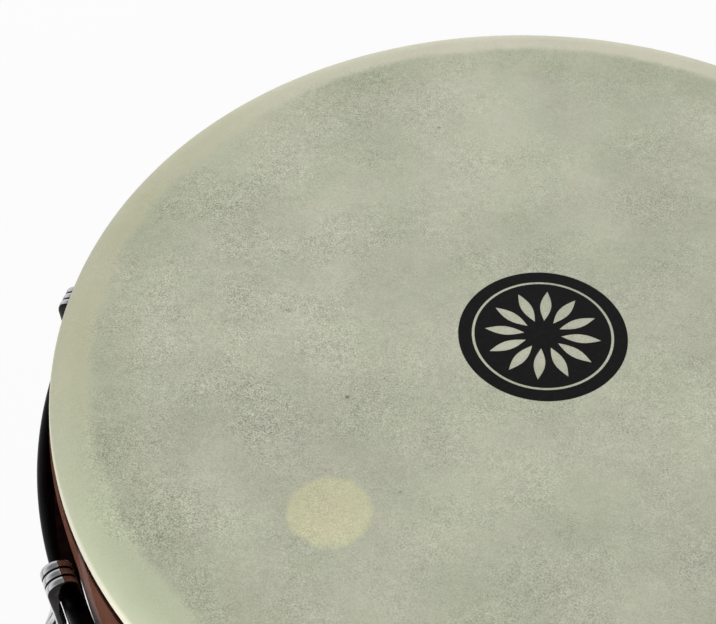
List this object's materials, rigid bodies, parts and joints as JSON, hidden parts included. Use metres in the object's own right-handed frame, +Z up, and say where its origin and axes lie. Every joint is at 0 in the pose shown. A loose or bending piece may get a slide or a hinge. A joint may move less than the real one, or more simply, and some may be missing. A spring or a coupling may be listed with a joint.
{
  "type": "conga",
  "caption": "Tall barrel-shaped hand drum of glued wooden staves, open at the foot, its synthetic head pulled down by a black rim, chrome hooks and turning nuts.",
  "frame": {"origin": "on the drum's axis, at the floor that its rubber ring stands on", "axes": "+Z up along the drum's axis to the playing face; the player stands at -Y"},
  "size_m": [0.3838, 0.3838, 0.762],
  "materials": {
    "lacquered_wood": "red-brown stain under gloss lacquer",
    "fibre_layer": "fine speckled fibre, satin",
    "clear_film": "clear, glossy",
    "black_rim": "satin black powder coat",
    "hoop_aluminium": "plain rolled",
    "chrome_fittings": "polished chrome plate",
    "zinc_steel": "zinc plated",
    "foot_rubber": "matt black"
  },
  "bodies": {
    "drum_body": {"shell": "lacquered_wood", "head_fibre_layer": "fibre_layer", "foot_band": "chrome_fittings", "foot_ring": "foot_rubber", "lug_plate_01": "chrome_fittings", "lug_plate_02": "chrome_fittings", "lug_plate_03": "chrome_fittings", "lug_plate_04": "chrome_fittings", "lug_plate_05": "chrome_fittings", "lug_plate_06": "chrome_fittings", "lug_plate_07": "chrome_fittings", "lug_plate_08": "chrome_fittings", "lug_plate_09": "chrome_fittings", "backing_plate_01": "zinc_steel", "backing_plate_02": "zinc_steel", "backing_plate_03": "zinc_steel", "backing_plate_04": "zinc_steel", "backing_plate_05": "zinc_steel", "backing_plate_06": "zinc_steel", "backing_plate_07": "zinc_steel", "backing_plate_08": "zinc_steel", "backing_plate_09": "zinc_steel", "washer_01": "zinc_steel", "washer_02": "zinc_steel", "washer_03": "zinc_steel", "washer_04": "zinc_steel", "washer_05": "zinc_steel", "washer_06": "zinc_steel", "washer_07": "zinc_steel", "washer_08": "zinc_steel", "washer_09": "zinc_steel"},
    "tension_ring": {"rim": "black_rim", "flesh_hoop": "hoop_aluminium", "head_film": "clear_film", "hook_01": "chrome_fittings", "hook_02": "chrome_fittings", "hook_03": "chrome_fittings", "hook_04": "chrome_fittings", "hook_05": "chrome_fittings", "hook_06": "chrome_fittings", "hook_07": "chrome_fittings", "hook_08": "chrome_fittings", "hook_09": "chrome_fittings"},
    "tuning_nut_01": {"nut_01": "chrome_fittings"},
    "tuning_nut_02": {"nut_02": "chrome_fittings"},
    "tuning_nut_03": {"nut_03": "chrome_fittings"},
    "tuning_nut_04": {"nut_04": "chrome_fittings"},
    "tuning_nut_05": {"nut_05": "chrome_fittings"},
    "tuning_nut_06": {"nut_06": "chrome_fittings"},
    "tuning_nut_07": {"nut_07": "chrome_fittings"},
    "tuning_nut_08": {"nut_08": "chrome_fittings"},
    "tuning_nut_09": {"nut_09": "chrome_fittings"}
  },
  "joints": [
    {"name": "ring_slide", "type": "slide", "parent": "drum_body", "child": "tension_ring", "axis": [0, 0, 1], "range_m": [-0.003, 0.006], "deforming": ["head_film"]},
    {"name": "nut_01_turn", "type": "hinge", "parent": "drum_body", "child": "tuning_nut_01", "pos_m": [-0.16328, 0.01716, 0.6264], "axis": [0.0197, -0.0021, 0.9998], "range_deg": [-1735, 870]},
    {"name": "nut_02_turn", "type": "hinge", "parent": "drum_body", "child": "tuning_nut_02", "pos_m": [-0.13611, -0.09181, 0.6264], "axis": [0.0164, 0.0111, 0.9998], "range_deg": [-1735, 870]},
    {"name": "nut_03_turn", "type": "hinge", "parent": "drum_body", "child": "tuning_nut_03", "pos_m": [-0.04525, -0.15782, 0.6264], "axis": [0.0055, 0.019, 0.9998], "range_deg": [-1735, 870]},
    {"name": "nut_04_turn", "type": "hinge", "parent": "drum_body", "child": "tuning_nut_04", "pos_m": [0.06678, -0.14998, 0.6264], "axis": [-0.0081, 0.0181, 0.9998], "range_deg": [-1735, 870]},
    {"name": "nut_05_turn", "type": "hinge", "parent": "drum_body", "child": "tuning_nut_05", "pos_m": [0.14756, -0.07197, 0.6264], "axis": [-0.0178, 0.0087, 0.9998], "range_deg": [-1735, 870]},
    {"name": "nut_06_turn", "type": "hinge", "parent": "drum_body", "child": "tuning_nut_06", "pos_m": [0.1593, 0.03972, 0.6264], "axis": [-0.0192, -0.0048, 0.9998], "range_deg": [-1735, 870]},
    {"name": "nut_07_turn", "type": "hinge", "parent": "drum_body", "child": "tuning_nut_07", "pos_m": [0.0965, 0.13282, 0.6264], "axis": [-0.0116, -0.016, 0.9998], "range_deg": [-1735, 870]},
    {"name": "nut_08_turn", "type": "hinge", "parent": "drum_body", "child": "tuning_nut_08", "pos_m": [-0.01145, 0.16378, 0.6264], "axis": [0.0014, -0.0197, 0.9998], "range_deg": [-1735, 870]},
    {"name": "nut_09_turn", "type": "hinge", "parent": "drum_body", "child": "tuning_nut_09", "pos_m": [-0.11405, 0.1181, 0.6264], "axis": [0.0137, -0.0142, 0.9998], "range_deg": [-1735, 870]}
  ],
  "couplings": [
    {"joint": "nut_01_turn", "follows": "ring_slide", "rad_per_m": -5026.5},
    {"joint": "nut_02_turn", "follows": "ring_slide", "rad_per_m": -5026.5},
    {"joint": "nut_03_turn", "follows": "ring_slide", "rad_per_m": -5026.5},
    {"joint": "nut_04_turn", "follows": "ring_slide", "rad_per_m": -5026.5},
    {"joint": "nut_05_turn", "follows": "ring_slide", "rad_per_m": -5026.5},
    {"joint": "nut_06_turn", "follows": "ring_slide", "rad_per_m": -5026.5},
    {"joint": "nut_07_turn", "follows": "ring_slide", "rad_per_m": -5026.5},
    {"joint": "nut_08_turn", "follows": "ring_slide", "rad_per_m": -5026.5},
    {"joint": "nut_09_turn", "follows": "ring_slide", "rad_per_m": -5026.5}
  ]
}
